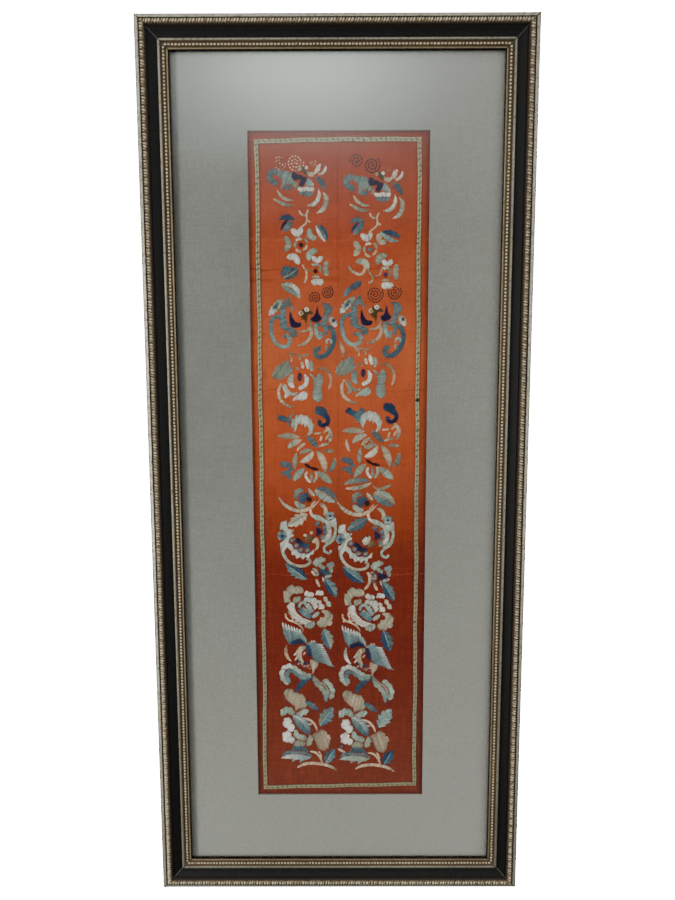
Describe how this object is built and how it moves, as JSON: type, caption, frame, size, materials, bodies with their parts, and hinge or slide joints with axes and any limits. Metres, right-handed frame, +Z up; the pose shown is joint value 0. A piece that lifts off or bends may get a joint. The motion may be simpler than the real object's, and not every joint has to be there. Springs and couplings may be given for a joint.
{
  "type": "framed embroidered sleeve band with its picture frame",
  "caption": "Tall wall-hung frame with dark and silvered moulding, glass and a grey mat around joined orange-red silk sleeve bands embroidered in blue, white and grey floss.",
  "frame": {"origin": "on the flat back of the top rail, half way along it and half way up it, where the picture meets the wall", "axes": "+Z up as it hangs, -Y out of the picture's front, +Y into the wall, +X to the right as seen from the front"},
  "size_m": [0.4, 0.0238, 0.93],
  "materials": {
    "moulding": "black painted wood between worn silver leaf edges",
    "silver_leaf": "worn silver leaf over brown size",
    "glass": "clear picture glass",
    "mat_cloth": "matt grey cloth-covered board",
    "silk": "orange-red satin silk",
    "ribbon": "woven cream and sage ribbon with dark dots",
    "floss": "untwisted silk floss in satin stitch",
    "backing": "plain brown board"
  },
  "bodies": {
    "root": {"frame_rail_top": "moulding", "frame_rail_bottom": "moulding", "frame_rail_left": "moulding", "frame_rail_right": "moulding", "glazing": "glass", "mat_board": "mat_cloth", "silk_band_left": "silk", "silk_band_right": "silk", "ribbon_trim_top": "ribbon", "ribbon_trim_bottom": "ribbon", "ribbon_trim_left": "ribbon", "ribbon_trim_right": "ribbon", "backing_board": "backing"}
  },
  "joints": []
}
